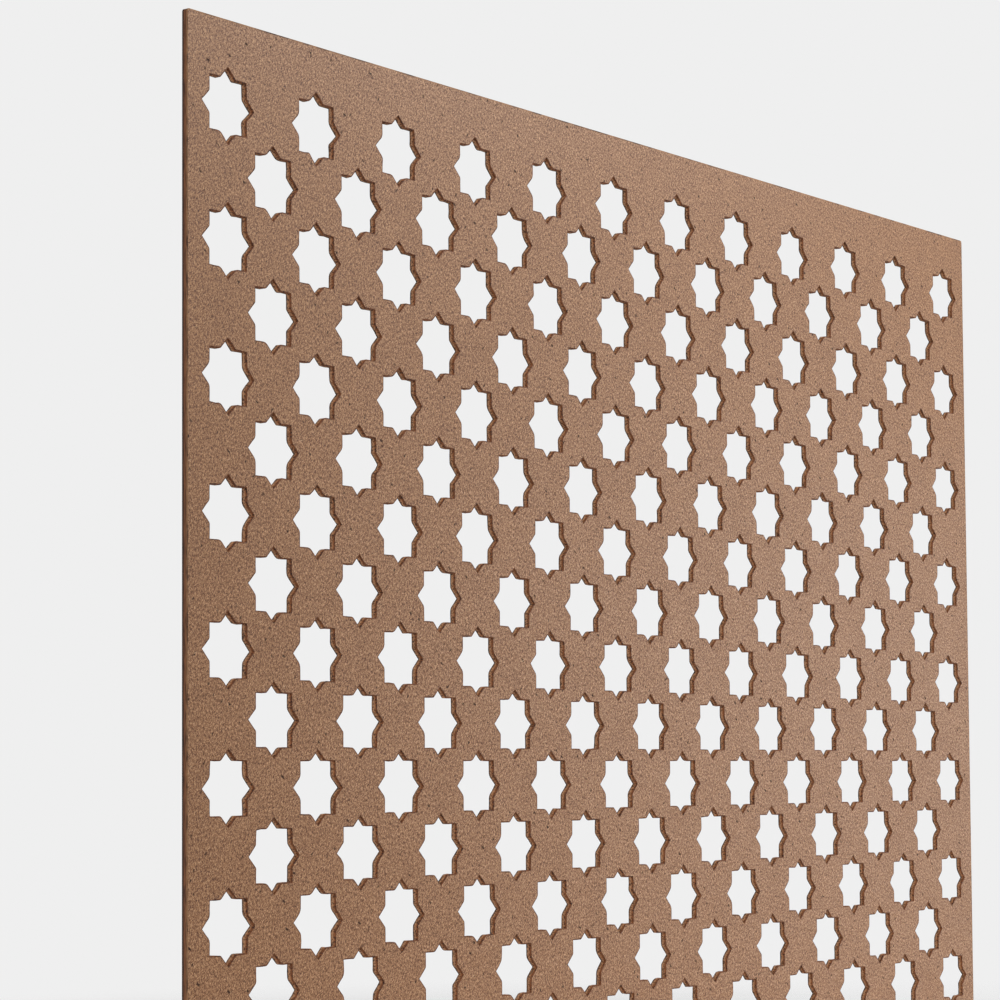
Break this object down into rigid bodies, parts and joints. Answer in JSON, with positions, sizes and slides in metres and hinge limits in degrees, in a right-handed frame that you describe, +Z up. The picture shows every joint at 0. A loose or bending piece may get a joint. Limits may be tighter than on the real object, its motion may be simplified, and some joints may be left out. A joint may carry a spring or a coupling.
{
  "type": "decorative screen panel",
  "caption": "Flat sheet of thin brown hardboard pierced with a staggered lattice of star openings inside a plain border, made to be fixed in a frame as a decorative screen or grille.",
  "frame": {"origin": "middle of the panel's bottom edge, half-way through the board", "axes": "+X across the panel, to the right as seen from the front; +Y through the board, from the front face to the back; +Z up"},
  "size_m": [0.6, 0.0024, 0.4181],
  "materials": {
    "hardboard": "raw smooth-faced brown hardboard, matt, with darker cut edges"
  },
  "bodies": {
    "root": {"screen_panel": "hardboard"}
  },
  "joints": []
}
